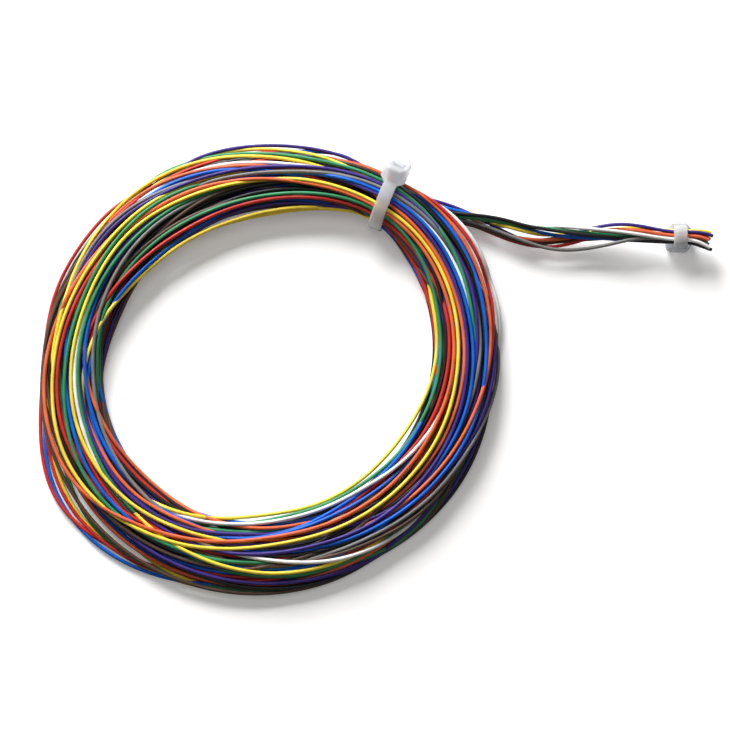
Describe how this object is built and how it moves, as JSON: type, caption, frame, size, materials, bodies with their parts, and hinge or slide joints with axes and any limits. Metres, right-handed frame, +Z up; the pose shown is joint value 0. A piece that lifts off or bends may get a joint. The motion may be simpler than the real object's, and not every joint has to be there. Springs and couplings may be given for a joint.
{
  "type": "coil of hookup wire",
  "caption": "Coil of stranded hookup wire in many insulation colours, held by a cable tie, with a second tie gathering the loose cut ends.",
  "frame": {"origin": "middle of the bounding box in plan, on the surface that the coil lies flat on", "axes": "+X from the coil towards the loose ends, +Y across the coil towards the side where the tail leaves, +Z up"},
  "size_m": [0.2374, 0.1615, 0.0187],
  "materials": {
    "pvc_black": "satin",
    "pvc_brown": "satin",
    "pvc_red": "satin",
    "pvc_orange": "satin",
    "pvc_yellow": "satin",
    "pvc_green": "satin",
    "pvc_blue": "satin",
    "pvc_violet": "satin",
    "pvc_gray": "satin",
    "pvc_white": "satin",
    "bare_copper": "bare drawn copper",
    "nylon": "natural translucent nylon"
  },
  "bodies": {
    "root": {"coil_bundle": "pvc_orange", "tail_black": "pvc_black", "tail_brown": "pvc_brown", "tail_red": "pvc_red", "tail_orange": "pvc_orange", "tail_yellow": "pvc_yellow", "tail_green": "pvc_green", "tail_blue": "pvc_blue", "tail_violet": "pvc_violet", "tail_gray": "pvc_gray", "tail_white": "pvc_white", "conductor_black": "bare_copper", "conductor_brown": "bare_copper", "conductor_red": "bare_copper", "conductor_orange": "bare_copper", "conductor_yellow": "bare_copper", "conductor_green": "bare_copper", "conductor_blue": "bare_copper", "conductor_violet": "bare_copper", "conductor_gray": "bare_copper", "conductor_white": "bare_copper", "coil_tie": "nylon", "tail_tie": "nylon"}
  },
  "joints": []
}
